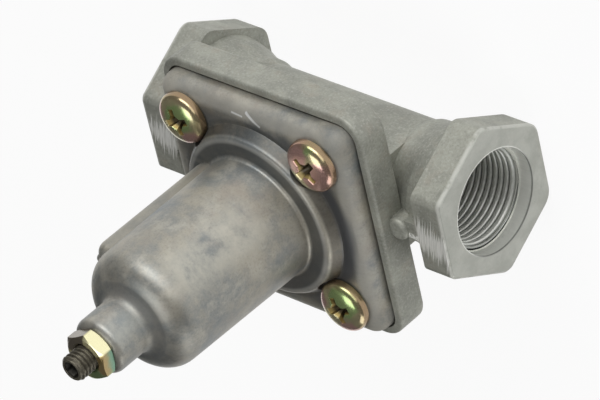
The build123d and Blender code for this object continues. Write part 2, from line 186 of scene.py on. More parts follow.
# The cuts of both ports in millimetres: where each starts or ends along or across the ports' axis,
# and the sides of the counterbore that look away from the light and into it, for its painted light and shade
portCuts = dict(
    axisHeight=16.0, face=(41.8, 41.95), boreStart=(23.0, 23.6), boreRadius=(11.8, 11.9),
    counterboreStart=(38.4, 38.6), counterboreRadius=11.65, mouthLine=(11.5, 11.85, 0.1),
    mouthLineStart=(41.5, 41.8), rubbedEdge=(40.9, 41.4), awaySide=(-0.8, -0.6), glintSide=(0.35, -0.94),
)
# Marks of a file drawn across the top flats of the hexagon ends, and caught on the outlet rib
fileMarks = dict(
    tilt=0.235, strokeWidth=0.17, strokeLength=14.0, sideEdge=(3.2, 4.0), topFlat=(31.7, 32.1, 0.05),
    taperWidth=5.0, leastReach=0.8,
    outlet=dict(at=38.0, middle=-1.3, slope=-0.28, reach=5.2, taper=0.0),
    inlet=dict(at=-37.6, middle=0.5, slope=-0.22, reach=5.6, taper=0.75),
    rib=dict(ends=(29.8, 34.4, 0.15), across=-0.85, slope=-0.1, width=0.8),
)


def fileStrokes(make, x, y, patch):
    across = (x - y * fileMarks["tilt"]) / fileMarks["strokeWidth"]
    along = y / fileMarks["strokeLength"]

    def scored(layer, scale):
        spot = make.node("ShaderNodeCombineXYZ", None, {0: across, 1: along, 2: layer + patch["at"]})
        return make.node("ShaderNodeTexNoise", None, {"Vector": spot, "Scale": scale, "Detail": 1.0})

    fromMiddle = x - patch["at"]
    reach = patch["reach"] * (1 - (fromMiddle / fileMarks["taperWidth"]) ** 2 * patch["taper"])
    reach = reach.maths("MAXIMUM", fileMarks["leastReach"])
    away = abs(y - patch["middle"] - fromMiddle * patch["slope"]) / reach
    pressed = scored(0.0, 1.0) * 0.9 + scored(3.0, 0.35) * 0.3 + (0.5 - away) * 0.4
    bright = scored(7.0, 0.8).rise(0.35, 0.6) * 0.5 + 0.5
    return pressed.rise(0.53, 0.62) * bright * (1 - abs(fromMiddle).rise(*fileMarks["sideEdge"]))


def finishCastBody():
    look = castBody
    material, make = newFinish("castBodyFinish")
    x, y, z = make.axes()
    clouds = make.cloud(look["cloudSize"], detail=6, roughness=0.62, distort=0.2)
    stains = make.cloud(look["stainSize"], detail=6, roughness=0.6, shift=(31, 7, 12), distort=0.3)
    blotches = make.cloud(look["blotchSize"], detail=5, shift=(6, 6, 1))
    specks = make.cloud(look["speckSize"], detail=3, roughness=0.65, shift=(7, 2, 5))
    pores = make.cloud(look["poreSize"], detail=3, shift=(3, 5, 9))
    grain = make.cloud(look["grainSize"], detail=2)
    colour = make.mix(clouds.rise(0.3, 0.7), look["dark"], look["light"])
    colour = make.mix(stains.rise(0.5, 0.75) * 0.6, colour, look["warm"])
    colour = make.mix(specks.rise(0.52, 0.7) * 0.3, colour, look["speckLight"])
    colour = make.mix((1 - specks.rise(0.3, 0.48)) * 0.26, colour, look["speckDark"])
    # machined mouth of each port: front face, counterbore and thread wall
    up = z - portCuts["axisHeight"]
    across = distance(y, up)
    face = abs(x).rise(*portCuts["face"])
    bore = (1 - across.rise(*portCuts["boreRadius"])) * abs(x).rise(*portCuts["boreStart"])
    cut = face.maths("MAXIMUM", bore)
    waver = make.cloud(look["waverSize"], detail=2, shift=(0, 9, 4)) * 0.7
    turned = (across * 4 + waver).maths("SINE") * 0.5 + 0.5
    colour = make.mix(face * (0.55 + blotches * 0.4), colour, look["machined"])
    colour = make.mix(face * (1 - clouds.rise(0.35, 0.6)) * 0.3, colour, look["dark"])
    colour = make.mix(face * pores.rise(0.68, 0.76) * 0.4, colour, look["speckDark"])
    # the bore is machined metal, painted paler still as a stand-in for the light that falls into the port
    colour = make.mix(bore * 0.95, colour, look["boredAndLit"])

    def facing(side):
        return (y * side[0] + up * side[1]) / portCuts["counterboreRadius"]

    # painted light in the counterbore: painted shade except where it shines on the side away from the light,
    # and a painted glint in pale metal; its sharp edge has a dark line
    away = facing(portCuts["awaySide"])
    counterbore = abs(x).rise(*portCuts["counterboreStart"]) * (1 - face) * bore
    streaks = make.cloud(look["streakSize"], detail=2, stretch=(0.12, 1, 1))
    shine = (away.rise(0.1, 0.9) * (0.5 + streaks * 0.9)).capped()
    colour = make.mix(counterbore * (1 - shine) * 0.2, colour, look["dark"])
    glint = facing(portCuts["glintSide"]).rise(0.55, 0.98) * (0.2 + streaks * 0.9)
    colour = make.mix(counterbore * glint * 0.8, colour, look["brightMetal"])
    line = across.within(*portCuts["mouthLine"]) * abs(x).rise(*portCuts["mouthLineStart"])
    colour = make.mix(line * away.rise(-0.2, 0.4) * 0.75, colour, look["speckDark"])
    # the front edge of each hexagon is rubbed
    rubbed = abs(x).rise(*portCuts["rubbedEdge"]) * (1 - cut) * blotches.rise(0.3, 0.5)
    colour = make.mix(rubbed * 0.8, colour, look["speckLight"])
    # the file's strokes on the top flats and on the outlet rib
    outlet = fileStrokes(make, x, y, fileMarks["outlet"])
    inlet = fileStrokes(make, x, y, fileMarks["inlet"])
    rib = fileMarks["rib"]
    aside = abs(y - rib["across"] - (x - rib["ends"][0]) * rib["slope"])
    strip = aside.rise(rib["width"], rib["width"] / 2) * x.within(*rib["ends"]) * specks.rise(0.35, 0.55)
    brightMetal = (outlet + inlet + strip).capped() * z.within(*fileMarks["topFlat"])
    colour = make.mix(brightMetal, colour, look["brightMetal"])
    roughness = look["roughness"] + (grain - 0.5) * 0.16 + (clouds - 0.5) * 0.12 - cut * 0.1 - brightMetal * 0.16
    height = (grain * 0.6 + pores * 0.7 + brightMetal * 0.6) * (1 - cut * 0.97) + turned * face * 0.12
    normal = make.relief(height, look["grainDepth"], 0.6)
    make.surface(colour=colour, metallic=look["metallic"], roughness=roughness, normal=normal)
    return material


# Satin die-cast aluminium of the bonnet, darkened and mottled by handling and heat, with painted shade and
# painted highlights where light falls
castBonnet = dict(
    blue=(0.215, 0.235, 0.24), beige=(0.385, 0.36, 0.3), dark=(0.11, 0.115, 0.115),
    brown=(0.33, 0.285, 0.24), light=(0.47, 0.45, 0.39), worn=(0.42, 0.41, 0.37),
    scratch=(0.92, 0.93, 0.92), collarSide=(0.42, 0.415, 0.41), flangeDark=(0.1, 0.105, 0.115),
    ridge=(0.6, 0.6, 0.57), pad=(0.41, 0.385, 0.32), bossHighlight=(0.43, 0.455, 0.44), paintedHighlight=(0.56, 0.545, 0.475),
    cloudSize=13.0, patchSize=7.0, tarnishSize=10.0, speckSize=0.5, grainSize=0.32,
    grainDepth=0.03, metallic=0.72, roughness=0.47,
)
# Zones of the bonnet in millimetres, each from low to high with a soft edge: out from the axis, outward on
# its square flange, turned round the axis in radians, and up
bonnetZones = dict(
    highlightBand=dict(turned=(0.45, 1.1, 0.25), up=(52.0, 77.0, 4.0)),
    bossHighlight=dict(up=(81.0, 91.5, 0.8), turned=(0.3, 1.3, 0.35)),
    bossFoot=dict(out=(6.8, 9.6, 0.4), up=(81.6, 84.8, 0.6)),
    collarTop=dict(out=(14.9, 18.2, 0.4), up=(42.9, 44.0, 0.3)),
    collarSide=dict(out=(18.9, 21.8, 0.5), up=(40.2, 42.5, 0.35)),
    collarRidge=dict(out=(17.9, 18.8, 0.4), up=(42.4, 43.4, 0.2)),
    collarFoot=dict(out=(20.6, 24.0, 1.2), up=(39.6, 40.6, 0.2)),
    flangeBorder=dict(square=(22.8, 25.2, 0.7), up=(36.5, 40.6, 0.4)),
)
# Other places on the bonnet: a range of two values fades in or out on one side only
bonnetPlaces = dict(
    underTurned=(-0.4, 0.3), underUp=(44.0, 46.0), flangeTop=(39.6, 40.6, 0.2), flatSquare=(20.5, 22.8),
    flatOut=(20.8, 22.0), footAlong=(6.0, 14.0), padAcross=9.6, padEdge=(0.9, 0.3), padAlong=(-9.5, -10.5),
    padUp=(43.5, 78.0, 1.0), creaseAcross=(9.9, 10.8, 0.5), creaseAlong=(-8.5, -10.5),
    creaseUp=(43.5, 75.0, 0.8), markUp=(38.6, 40.5, 0.05), corner=(42.0, 46.0),
)
# Scratches of a flow mark on the flange, by start, end, width and strength
flowMarks = [((-3.93, 23.39), (-1.16, 23.2), 0.3, 0.7), ((-0.05, 24.18), (3.64, 22.28), 0.42, 1.0)]


def finishCastBonnet():
    look = castBonnet
    places = bonnetPlaces
    material, make = newFinish("castBonnetFinish")
    x, y, z = make.axes()
    clouds = make.cloud(look["cloudSize"], detail=8, roughness=0.66, distort=0.2, shift=(4, 2, 0))
    patches = make.cloud(look["patchSize"], detail=8, roughness=0.7, distort=0.2, shift=(11, 3, 8))
    tarnish = make.cloud(look["tarnishSize"], detail=7, roughness=0.65, distort=0.3, shift=(20, 40, 3))
    specks = make.cloud(look["speckSize"], detail=4, roughness=0.7, shift=(5, 1, 2))
    grain = make.cloud(look["grainSize"], detail=2)
    colour = make.mix(clouds.rise(0.32, 0.66), look["blue"], look["beige"])
    colour = make.mix(patches.rise(0.45, 0.68) * 0.8, colour, look["light"])
    colour = make.mix(tarnish.rise(0.5, 0.76) * 0.6, colour, look["brown"])
    colour = make.mix((1 - specks.rise(0.32, 0.5)) * 0.24, colour, look["dark"])
    colour = make.mix(specks.rise(0.54, 0.72) * 0.3, colour, look["light"])
    measures = dict(out=distance(x, y), square=abs(x).maths("MAXIMUM", abs(y)),
                    turned=y.maths("ARCTAN2", x), up=z)

    def zone(name):
        first, second = [measures[measure].within(*span) for measure, span in bonnetZones[name].items()]
        return first * second

    # a painted highlight lies on one side of the housing, and painted shade darkens its underside
    colour = make.mix(zone("highlightBand") * clouds.rise(0.3, 0.55) * 0.64, colour, look["paintedHighlight"])
    underside = (1 - measures["turned"].rise(*places["underTurned"])) * z.rise(*places["underUp"])
    colour = make.mix(underside * 0.25, colour, look["dark"])
    # a painted highlight lies where the screw boss faces up, and the hollow at its foot is dull and painted
    # with shade
    colour = make.mix(zone("bossHighlight") * (0.1 + patches * 0.5), colour, look["bossHighlight"])
    hollow = zone("bossFoot")
    colour = make.mix(hollow * 0.55, colour, look["dark"])
    # painted shade darkens the top of the collar and its side, and a painted highlight lies along its upper
    # edge
    colour = make.mix(zone("collarTop") * 0.75, colour, look["dark"])
    colour = make.mix(zone("collarSide"), colour, look["collarSide"], "MULTIPLY")
    colour = make.mix(zone("collarRidge") * (0.4 + patches * 0.8) * 0.7, colour, look["ridge"])
    # the rounded border of the flange is worn pale, and painted shade darkens the flat inside it, in patches
    rubbed = zone("flangeBorder") * (0.35 + patches * 0.6)
    colour = make.mix(rubbed, colour, look["worn"])
    flat = (1 - measures["square"].rise(*places["flatSquare"])) * measures["out"].rise(*places["flatOut"])
    flat = flat * z.within(*places["flangeTop"])
    colour = make.mix(flat * (0.2 + clouds * 0.5), colour, look["flangeDark"])
    # the flange is darker beside the collar, towards the outlet
    foot = zone("collarFoot") * x.rise(*places["footAlong"]) * (0.6 + clouds * 0.7)
    colour = make.mix((foot * 0.9).capped(), colour, look["flangeDark"])
    # the side of the pad is a warmer, duller grey, with painted shade in the corner above it
    padSide = abs(y - places["padAcross"]).rise(*places["padEdge"]) * x.rise(*places["padAlong"])
    padSide = padSide * z.within(*places["padUp"])
    colour = make.mix(padSide * (0.1 + clouds), colour, look["pad"])
    crease = y.within(*places["creaseAcross"]) * x.rise(*places["creaseAlong"])
    colour = make.mix(crease * z.within(*places["creaseUp"]) * 0.6, colour, look["dark"])
    # the scratches of the flow mark show bright metal
    scratched = sum(make.stroke(x, y, *mark) * strength for *mark, strength in flowMarks)
    scratched = scratched.capped() * z.within(*places["markUp"])
    colour = make.mix(scratched, colour, look["scratch"])
    corners = (abs(x) + abs(y)).rise(*places["corner"])
    roughness = look["roughness"] + (patches - 0.5) * 0.24 + (grain - 0.5) * 0.1 - scratched * 0.15
    roughness = roughness + rubbed * 0.2 + corners * 0.25 + hollow * 0.25
    normal = make.relief(grain * 0.6 + specks * 0.8 - scratched, look["grainDepth"], 0.5)
    make.surface(colour=colour, metallic=look["metallic"], roughness=roughness, normal=normal)
    return material


# Yellow passivated zinc of the cover screws and the nut, with its pink and green sheen
yellowZinc = dict(
    gold=(0.66, 0.6, 0.34), straw=(0.5, 0.45, 0.27), pink=(0.62, 0.36, 0.33), green=(0.36, 0.5, 0.2),
    brown=(0.3, 0.2, 0.12), nutHighlight=(0.95, 0.9, 0.56), bronze=(0.38, 0.28, 0.12),
    nutGreen=(0.16, 0.29, 0.1), nutTeal=(0.14, 0.33, 0.24), mauve=(0.125, 0.1, 0.09),
    recessWall=(0.36, 0.27, 0.1), recessFloor=(0.05, 0.037, 0.016),
    sweepSize=6.5, blotSize=1.6, scratchSize=0.5, scratchDepth=0.006,
    metallic=0.8, roughness=0.17, coat=0.35, coatRoughness=0.08,
)
# The screw heads' form in millimetres with the radii of their stains, and the heights at which the nut
# begins and its teal fades
headForm = dict(
    offset=18.1, seat=40.3, radius=6.0, rimHeight=0.9, crownRise=2.6, crownPower=2.5,
    recessEnd=(4.2, 4.5), rimStain=(5.5, 6.3), rimLine=(5.75, 5.98), coatEnd=(5.5, 5.85),
    nutStart=(80.0, 81.0), tealEnd=(93.6, 95.6),
)
# Patches of sheen on the screw heads: the head's sides, the patch's place on it, its radius and colour
sheenPatches = [
    (-1, 1, 0.8, 1.2, 3.4, "green"), (-1, 1, -5.6, 1.6, 2.3, "pink"), (-1, 1, 3.4, -4.2, 2.7, "pink"),
    (1, 1, -3.0, 2.8, 4.2, "pink"), (1, 1, 3.4, -1.6, 4.4, "pink"), (1, 1, 1.4, 5.2, 1.0, "green"),
    (1, -1, 1.6, 2.6, 3.6, "green"), (1, -1, -5.0, 1.4, 2.4, "pink"), (1, -1, 2.2, -4.8, 2.6, "pink"),
    (-1, -1, 0.6, 0.9, 3.2, "green"), (-1, -1, -4.2, -2.6, 2.6, "pink"),
]
# Colours round the nut, one flat after another: from and to in radians, soft edge and strength.
# The teal keeps to the foot of the nut
nutFlats = [
    ("nutGreen", -1.6, -0.6, 0.2, 0.8), ("bronze", -0.6, 0.44, 0.08, 1.0),
    ("nutTeal", -1.1, 0.44, 0.08, 0.85), ("nutHighlight", 0.44, 1.48, 0.05, 1.0),
    ("mauve", 1.48, 3.0, 0.06, 0.85),
]


def finishYellowZinc():
    look = yellowZinc
    material, make = newFinish("yellowZincFinish")
    x, y, z = make.axes()
    sweep = make.cloud(look["sweepSize"], detail=2, shift=(1, 3, 2), distort=0.3)
    blots = make.cloud(look["blotSize"], detail=3, shift=(2, 7, 1))
    scratches = make.cloud(look["scratchSize"], detail=3, stretch=(1, 1, 0.2))
    out = distance(abs(x) - headForm["offset"], abs(y) - headForm["offset"])
    onNut = z.rise(*headForm["nutStart"])
    onScrews = 1 - onNut
    colour = make.mix(sweep.rise(0.4, 0.6), look["straw"], look["gold"])
    for sideX, sideY, along, across, radius, tint in sheenPatches:
        offX = x - (sideX * headForm["offset"] + along)
        offY = y - (sideY * headForm["offset"] + across)
        far = distance(offX, offY) + (blots - 0.5) * 2.4
        colour = make.mix(far.rise(radius + 0.5, radius - 0.7) * 0.9, colour, look[tint])
    # the rim of each screw head stays brownish gold
    rim = (out + blots * 1.2).rise(*headForm["rimStain"]) * onScrews
    colour = make.mix(rim * 0.5, colour, look["brown"])
    colour = make.mix(out.rise(*headForm["rimLine"]) * onScrews * 0.75, colour, look["brown"])
    # the nut takes a painted highlight on the flat that faces the light, bronze beside that, and green to
    # teal round its far side
    turned = y.maths("ARCTAN2", x)
    foot = 1 - (z + blots * 1.5).rise(*headForm["tealEnd"])
    for tint, start, end, edge, strength in nutFlats:
        flat = onNut * turned.within(start, end, edge) * strength
        colour = make.mix(flat * foot if tint == "nutTeal" else flat, colour, look[tint])
    # what lies below the crown's height over this radius is the cross recess: its walls a darker brownish
    # gold, and painted shade on its floor, darkest deepest
    power = headForm["crownPower"]
    share = 1 - (out / headForm["radius"]).capped() ** power
    below = headForm["rimHeight"] + share ** (1 / power) * headForm["crownRise"] - (z - headForm["seat"])
    recess = below.rise(0.1, 0.35) * (1 - out.rise(*headForm["recessEnd"])) * onScrews
    colour = make.mix(recess, colour, look["recessWall"])
    colour = make.mix(below.rise(0.5, 1.4) * recess, colour, look["recessFloor"])
    roughness = look["roughness"] + scratches * 0.1 + recess * 0.2
    normal = make.relief(scratches, look["scratchDepth"], 0.4)
    coat = look["coat"] * (1 - out.rise(*headForm["coatEnd"]) * onScrews)
    make.surface(colour=colour, metallic=look["metallic"], roughness=roughness, normal=normal,
                 coat=coat, coatRoughness=look["coatRoughness"])
    return material


# Plain finishes that differ only in colour, grain and gloss. Painted shade darkens the hollows: the grooves
# of the port threads, away from the ports' axis, and the socket of the adjusting screw, near its own axis
plainFinishes = {
    "blackSteelFinish": dict(dark=(0.09, 0.082, 0.062), light=(0.16, 0.145, 0.11), size=0.6,
                             stretch=(1, 1, 1), metallic=0.7, roughness=0.42, spread=0.15, depth=0.01,
                             paintedShade=dict(axis="up", span=(2.0, 1.8), share=0.95, colour=(0.01, 0.009, 0.007))),
    # the thread is machined metal, painted paler still as a stand-in for the light that falls into the ports
    "threadFinish": dict(dark=(0.68, 0.69, 0.65), light=(0.82, 0.83, 0.79), size=1.4,
                         stretch=(3, 1, 1), metallic=0.6, roughness=0.42, spread=0.15, depth=0.01,
                         paintedShade=dict(axis="ports", span=(10.25, 10.75), share=0.6, colour=(0.2, 0.215, 0.2))),
    "springWireFinish": dict(dark=(0.24, 0.24, 0.25), light=(0.5, 0.5, 0.51), size=1.2,
                             stretch=(1, 1, 1), metallic=1.0, roughness=0.3, spread=0.15, depth=0.01),
    "turnedFinish": dict(dark=(0.55, 0.56, 0.57), light=(0.76, 0.77, 0.78), size=0.7,
                         stretch=(1, 1, 6), metallic=1.0, roughness=0.28, spread=0.15, depth=0.008),
    "rubberFinish": dict(dark=(0.012, 0.012, 0.013), light=(0.035, 0.034, 0.033), size=1.6,
                         stretch=(1, 1, 1), metallic=0.0, roughness=0.7, spread=0.2, depth=0.03),
    "brassFinish": dict(dark=(0.5, 0.36, 0.14), light=(0.78, 0.62, 0.33), size=1.0,
                        stretch=(6, 1, 1), metallic=1.0, roughness=0.28, spread=0.15, depth=0.008),
    "guideFinish": dict(dark=(0.56, 0.54, 0.49), light=(0.72, 0.7, 0.65), size=2.5,
                        stretch=(1, 1, 1), metallic=0.0, roughness=0.5, spread=0.15, depth=0.02),
}


def finishPlain(name):
    look = plainFinishes[name]
    material, make = newFinish(name)
    grain = make.cloud(look["size"], detail=4, stretch=look["stretch"])
    colour = make.mix(grain.rise(0.3, 0.7), look["dark"], look["light"])
    if "paintedShade" in look:
        paintedShade = look["paintedShade"]
        x, y, z = make.axes()
        out = distance(x, y) if paintedShade["axis"] == "up" else distance(y, z - portCuts["axisHeight"])
        colour = make.mix(out.rise(*paintedShade["span"]) * paintedShade["share"], colour, paintedShade["colour"])
    roughness = look["roughness"] + (grain - 0.5) * look["spread"]
    normal = make.relief(grain, look["depth"], 0.4)
    make.surface(colour=colour, metallic=look["metallic"], roughness=roughness, normal=normal)
    return material


finishes = {name: finishPlain(name) for name in plainFinishes}
finishes["castBodyFinish"] = finishCastBody()
finishes["castBonnetFinish"] = finishCastBonnet()
finishes["yellowZincFinish"] = finishYellowZinc()
nodeFinishes = {
    "valve_body": "castBodyFinish", "bonnet": "castBonnetFinish",
    "cover_screws": "yellowZincFinish", "lock_nut": "yellowZincFinish",
    "adjusting_screw": "blackSteelFinish", "diaphragm": "rubberFinish",
    "check_valve_seal": "rubberFinish", "pressure_plate": "turnedFinish",
    "upper_spring_seat": "turnedFinish", "setting_spring": "springWireFinish",
    "check_valve_spring": "springWireFinish", "retaining_ring": "springWireFinish",
    "check_valve_disc": "brassFinish", "check_valve_guide": "guideFinish",
}
for nodeName, finishName in nodeFinishes.items():
    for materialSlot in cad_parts[nodeName].material_slots:
        materialSlot.material = finishes[finishName]
print("finishes made:", len(finishes))


def meshObject(name, bm):
    mesh = bpy.data.meshes.new(name)
    bm.to_mesh(mesh)
    bm.free()
    made = bpy.data.objects.new(name, mesh)
    bpy.context.scene.collection.objects.link(made)
    return made


# Merges doubled corners and turns the faces outwards
def closeShell(bm):
    bmesh.ops.remove_doubles(bm, verts=bm.verts, dist=0.000001)
    bmesh.ops.recalc_face_normals(bm, faces=bm.faces)


# Cuts away what lies beyond a plane, or before it, and closes the cut
def trimShell(bm, place, direction, beyond=True):
    cut = bmesh.ops.bisect_plane(bm, geom=[*bm.verts, *bm.edges, *bm.faces], plane_co=place,
                                 plane_no=direction, clear_outer=beyond, clear_inner=not beyond)
    rim = [item for item in cut["geom_cut"] if isinstance(item, bmesh.types.BMEdge)]
    bmesh.ops.holes_fill(bm, edges=[edge for edge in rim if edge.is_boundary], sides=0)


# Turns a finished bmesh into a piece of the valve that rides on a body
def newPiece(name, bm, finishName, body):
    closeShell(bm)
    for face in bm.faces:
        face.smooth = True
    piece = meshObject(name, bm)
    piece.data.materials.append(finishes[finishName])
    if body:
        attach(piece, body)
    return piece


# Internal thread ridge of each port, wound inwards from the wall at the major radius
portThread = dict(
    wallRadius=0.011, crestRadius=0.01019, sunk=0.00005, pitch=0.0015, baseShare=0.94, crestShare=0.4,
    crestRound=0.00006, shoulderShare=1.5, innerEnd=0.0244, mouth=0.0385, axisHeight=0.016, stepsPerTurn=56,
)


def windPortThread(name, side):
    look = portThread
    axisHeight = look["axisHeight"]
    pitch = look["pitch"]
    halfBase = pitch * look["baseShare"] / 2
    halfCrest = pitch * look["crestShare"] / 2
    halfShoulder = halfCrest * look["shoulderShare"]
    base = look["wallRadius"] + look["sunk"]
    crest = look["crestRadius"]
    shoulder = crest + look["crestRound"]
    outline = [(-halfBase, base), (-halfShoulder, shoulder), (-halfCrest, crest),
               (halfCrest, crest), (halfShoulder, shoulder), (halfBase, base)]
    bm = bmesh.new()
    corners = [bm.verts.new((look["innerEnd"] + along, out, axisHeight)) for along, out in outline]
    section = bm.faces.new(corners)
    turns = (look["mouth"] - look["innerEnd"]) / pitch + 1
    steps = round(turns * look["stepsPerTurn"])
    bmesh.ops.spin(bm, geom=[section, *section.edges, *section.verts], cent=(0, 0, axisHeight),
                   axis=(1, 0, 0), dvec=(pitch / look["stepsPerTurn"], 0, 0),
                   angle=2 * math.pi * steps / look["stepsPerTurn"], steps=steps, use_merge=False)
    # the lead-in chamfer at the mouth takes the crest down to the wall
    for corner in bm.verts:
        height = Vector((0, corner.co.y, corner.co.z - axisHeight))
        least = look["wallRadius"] - (look["mouth"] - corner.co.x)
        if 0 < height.length < least:
            height.length = least
            corner.co.y = height.y
            corner.co.z = height.z + axisHeight
    trimShell(bm, (look["mouth"], 0, 0), (1, 0, 0))
    if side < 0:
        bmesh.ops.rotate(bm, verts=bm.verts, cent=(0, 0, 0), matrix=Matrix.Rotation(math.pi, 3, "Z"))
    newPiece(name, bm, "threadFinish", "housing")


windPortThread("outletThread", 1)
windPortThread("inletThread", -1)
print("port threads wound")


# The four cover screws, with a low crown and a tapered cross recess, which stand for the plain CAD ones
coverScrew = dict(
    offset=0.0181, seat=0.0403, headRadius=0.006, rimHeight=0.0009, headHeight=0.0035, crownPower=2.5,
    footBevel=0.0003, shankRadius=0.003, pointChamfer=0.0006, segments=96, crownSteps=18,
    edgeBevel=0.00012, bevelSegments=2, bevelAngle=40.0,
    turns={(-1, -1): 33.0, (1, -1): 19.0, (1, 1): 45.0, (-1, 1): 18.0},
)
# The recess at its floor and above the crown: reach of an arm, its half width and where two arms meet
crossFloor = dict(height=0.0012, reach=0.0011, half=0.00045, meet=0.0007)
crossTop = dict(height=0.0042, reach=0.0043, half=0.00098, meet=0.0021)


def turnScrewBlank():
    look = coverScrew
    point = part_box("cover_screws")[0].z - look["seat"]
    outline = [(0, point), (look["shankRadius"] - look["pointChamfer"], point),
               (look["shankRadius"], point + look["pointChamfer"]), (look["shankRadius"], 0),
               (look["headRadius"] - look["footBevel"], 0), (look["headRadius"], look["footBevel"])]
    for step in range(look["crownSteps"] + 1):
        angle = math.pi / 2 * step / look["crownSteps"]
        share = 2 / look["crownPower"]
        rise = (look["headHeight"] - look["rimHeight"]) * math.sin(angle) ** share
        out = look["headRadius"] * max(math.cos(angle), 0) ** share
        outline.append((0 if step == look["crownSteps"] else out, look["rimHeight"] + rise))
    bm = bmesh.new()
    corners = [bm.verts.new((out, 0, up)) for out, up in outline]
    line = [bm.edges.new(pair) for pair in zip(corners, corners[1:])]
    bmesh.ops.spin(bm, geom=[*corners, *line], cent=(0, 0, 0), axis=(0, 0, 1), angle=2 * math.pi,
                   steps=look["segments"], use_merge=True)
    closeShell(bm)
    return meshObject("screwBlank", bm)


def makeCrossCutter():
    bm = bmesh.new()
    rings = []
    for level in (crossFloor, crossTop):
        reach, half, meet = level["reach"], level["half"], level["meet"]
        quarter = [(reach, -half), (reach, half), (meet, half), (half, meet)]
        corners = []
        for turn in range(4):
            spin = Matrix.Rotation(turn * math.pi / 2, 3, "Z")
            corners += [bm.verts.new(spin @ Vector((*spot, level["height"]))) for spot in quarter]
        rings.append([bm.edges.new(pair) for pair in zip(corners, corners[1:] + corners[:1])])
    bmesh.ops.bridge_loops(bm, edges=[*rings[0], *rings[1]])
    for ring in rings:
        bmesh.ops.edgeloop_fill(bm, edges=ring)
    closeShell(bm)
    return meshObject("crossCutter", bm)


def cutCoverScrews():
    look = coverScrew
    blank = turnScrewBlank()
    cutter = makeCrossCutter()
    cut = blank.modifiers.new("recess", "BOOLEAN")
    cut.operation = "DIFFERENCE"
    cut.solver = "EXACT"
    cut.object = cutter
    soften = blank.modifiers.new("soften", "BEVEL")
    soften.width = look["edgeBevel"]
    soften.segments = look["bevelSegments"]
    soften.limit_method = "ANGLE"
    soften.angle_limit = math.radians(look["bevelAngle"])
    bpy.context.view_layer.update()
    screw = bpy.data.meshes.new_from_object(blank.evaluated_get(bpy.context.evaluated_depsgraph_get()))
    bm = bmesh.new()
    for (sideX, sideY), turn in look["turns"].items():
        bm.from_mesh(screw)
        fresh = bm.verts[-len(screw.vertices):]
        spot = Matrix.Translation((sideX * look["offset"], sideY * look["offset"], look["seat"]))
        bmesh.ops.transform(bm, verts=fresh, matrix=spot @ Matrix.Rotation(math.radians(turn), 4, "Z"))
    for made in (blank, cutter):
        bpy.data.objects.remove(made)
    piece = newPiece("coverScrewSet", bm, "yellowZincFinish", "housing")
    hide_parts("cover_screws")


cutCoverScrews()
print("cover screws cut")


# The adjusting screw with its rolled thread and hexagon socket, which stands for the plain CAD one
settingScrew = dict(
    crest=0.003, root=0.00242, pitch=0.001, ridgeSlope=1.35, rootShare=0.12, endChamfer=0.0006,
    tipRadius=0.002, tipLength=0.0015, tipBevel=0.0003, socketFlats=0.003, socketDepth=0.0032,
    mouthWidth=0.00025, segments=48, ringsPerPitch=8,
)


def hexRadius(angle, acrossFlats):
    sector = math.pi / 3
    return acrossFlats / 2 / math.cos((angle + sector / 2) % sector - sector / 2)


# Extrudes an open ring to a height, as a circle of a radius or as a hexagon across its flats
def extrudeRing(bm, ring, height, radius=0.0, flats=0.0):
    made = bmesh.ops.extrude_edge_only(bm, edges=ring)["geom"]
    for corner in [item for item in made if isinstance(item, bmesh.types.BMVert)]:
        angle = math.atan2(corner.co.y, corner.co.x)
        out = hexRadius(angle, flats) if flats else radius
        corner.co = (out * math.cos(angle), out * math.sin(angle), height)
    return [item for item in made if isinstance(item, bmesh.types.BMEdge)]


def cutSettingScrew():
    look = settingScrew
    low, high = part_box("adjusting_screw")
    bottom = low.z + look["tipLength"]
    top = high.z
    middle = (top + bottom) / 2
    bm = bmesh.new()
    bmesh.ops.create_cone(bm, cap_ends=False, segments=look["segments"], radius1=look["crest"],
                          radius2=look["crest"], depth=top - bottom,
                          matrix=Matrix.Translation((0, 0, middle)))
    upright = [edge for edge in bm.edges if abs(edge.verts[0].co.z - edge.verts[1].co.z) > look["pitch"]]
    cuts = round((top - bottom) / look["pitch"] * look["ringsPerPitch"])
    bmesh.ops.subdivide_edges(bm, edges=upright, cuts=cuts, use_grid_fill=True)
    for corner in bm.verts:
        angle = math.atan2(corner.co.y, corner.co.x)
        wave = (corner.co.z / look["pitch"] - angle / (2 * math.pi)) % 1
        ridge = min(max(look["ridgeSlope"] * abs(2 * wave - 1) - look["rootShare"], 0), 1)
        radius = look["root"] + (look["crest"] - look["root"]) * ridge
        fromEnd = min(top - corner.co.z, corner.co.z - bottom)
        radius = min(radius, look["crest"] - look["endChamfer"] + fromEnd)
        corner.co.x = radius * math.cos(angle)
        corner.co.y = radius * math.sin(angle)
    flats = look["socketFlats"]
    ends = [edge for edge in bm.edges if edge.is_boundary]
    upper = [edge for edge in ends if edge.verts[0].co.z > middle]
    lower = [edge for edge in ends if edge.verts[0].co.z < middle]
    socket = extrudeRing(bm, upper, top, radius=flats / math.sqrt(3) + look["mouthWidth"])
    socket = extrudeRing(bm, socket, top - look["mouthWidth"], flats=flats)
    socket = extrudeRing(bm, socket, top - look["socketDepth"], flats=flats)
    bmesh.ops.edgeloop_fill(bm, edges=socket)
    tip = extrudeRing(bm, lower, bottom, radius=look["tipRadius"])
    tip = extrudeRing(bm, tip, low.z + look["tipBevel"], radius=look["tipRadius"])
    tip = extrudeRing(bm, tip, low.z, radius=look["tipRadius"] - look["tipBevel"])
    bmesh.ops.edgeloop_fill(bm, edges=tip)
    piece = newPiece("settingScrew", bm, "blackSteelFinish", "adjusting_screw")
    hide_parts("adjusting_screw")


cutSettingScrew()
print("setting screw cut")


